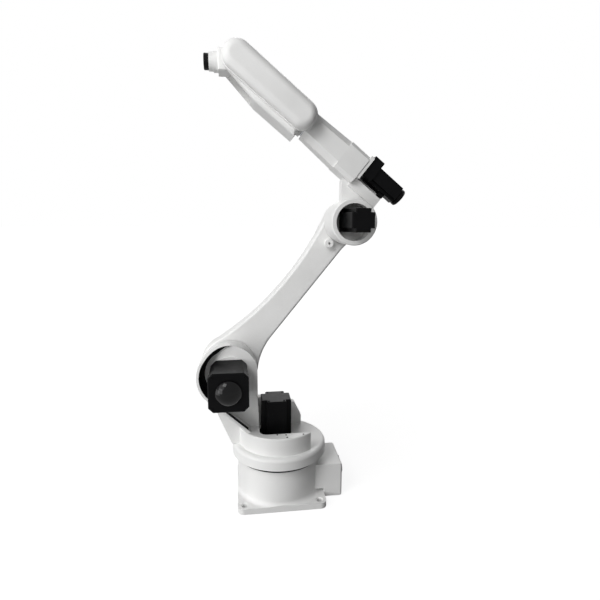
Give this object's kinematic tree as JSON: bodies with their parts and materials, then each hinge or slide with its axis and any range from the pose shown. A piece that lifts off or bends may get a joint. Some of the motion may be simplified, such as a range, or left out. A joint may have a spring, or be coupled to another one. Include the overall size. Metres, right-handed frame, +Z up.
{
  "type": "industrial robot arm",
  "caption": "Floor-standing articulated robot arm: bolted base, turntable turret, lower arm, elbow, rolling forearm, bending wrist and tool flange, with exposed servo motors.",
  "frame": {"origin": "on the turntable axis, on the underside of the base plate", "axes": "+Z up, +X the way the robot faces at rest, +Y to its left"},
  "size_m": [0.7048, 0.377, 1.484],
  "materials": {
    "white": "satin off-white paint over castings",
    "black": "satin black motor housing",
    "gloss_black": "glossy black moulded cap",
    "black_flange": "blackened steel flange",
    "steel": "ground bearing ring",
    "connector": "dark moulded connector shell"
  },
  "bodies": {
    "base": {"base_plate": "white", "base_column": "white", "slewing_ring": "steel", "connector_box": "white", "connector_panel": "white", "power_socket": "connector", "signal_socket": "connector"},
    "turret": {"turntable_flange": "white", "turret_casting": "white", "shoulder_bearing": "steel", "j1_motor_flange": "black", "j1_motor_body": "black", "j1_motor_cap": "black", "j2_motor_pilot": "white", "j2_motor_flange": "black", "j2_motor_body": "black", "j2_motor_cover": "black", "j2_motor_dome": "gloss_black"},
    "lower_arm": {"lower_arm": "white", "shoulder_cap": "white", "elbow_cap": "white", "zero_lug": "white"},
    "elbow": {"elbow_casting": "white", "elbow_bearing": "steel", "j3_motor_flange": "black", "j3_motor_body": "black", "j3_motor_cap": "black", "gear_block": "white", "adapter_plate": "white", "forearm_tube": "white", "roll_bearing": "steel", "j4_motor_flange": "black", "j4_motor_body": "black", "j4_motor_cap": "black", "j4_motor_connector": "black"},
    "forearm": {"roll_flange": "white", "forearm_housing": "white", "fork_left": "white", "fork_right": "white", "belt_cover_lip": "white", "belt_cover": "white", "fork_cap": "white", "housing_panel": "white"},
    "wrist": {"wrist_block": "white", "wrist_collar": "white"},
    "tool": {"tool_flange": "black_flange"}
  },
  "joints": [
    {"name": "waist_turn", "type": "hinge", "parent": "base", "child": "turret", "pos_m": [0, 0, 0.15], "axis": [0, 0, 1], "range_deg": [-170, 170]},
    {"name": "shoulder_swing", "type": "hinge", "parent": "turret", "child": "lower_arm", "pos_m": [0.17, 0, 0.45], "axis": [0, 1, 0], "range_deg": [-31, 109]},
    {"name": "elbow_swing", "type": "hinge", "parent": "lower_arm", "child": "elbow", "pos_m": [-0.23906, 0, 0.95515], "axis": [0, -1, 0], "range_deg": [-75, 145]},
    {"name": "forearm_roll", "type": "hinge", "parent": "elbow", "child": "forearm", "pos_m": [-0.33031, 0, 1.06783], "axis": [0.7771, 0, 0.6293], "range_deg": [-180, 180]},
    {"name": "wrist_bend", "type": "hinge", "parent": "forearm", "child": "wrist", "pos_m": [0.12432, 0, 1.43598], "axis": [0, -1, 0], "range_deg": [-81, 159]},
    {"name": "tool_turn", "type": "hinge", "parent": "wrist", "child": "tool", "pos_m": [0.21432, 0, 1.43598], "axis": [1, 0, 0], "range_deg": [-360, 360]}
  ]
}
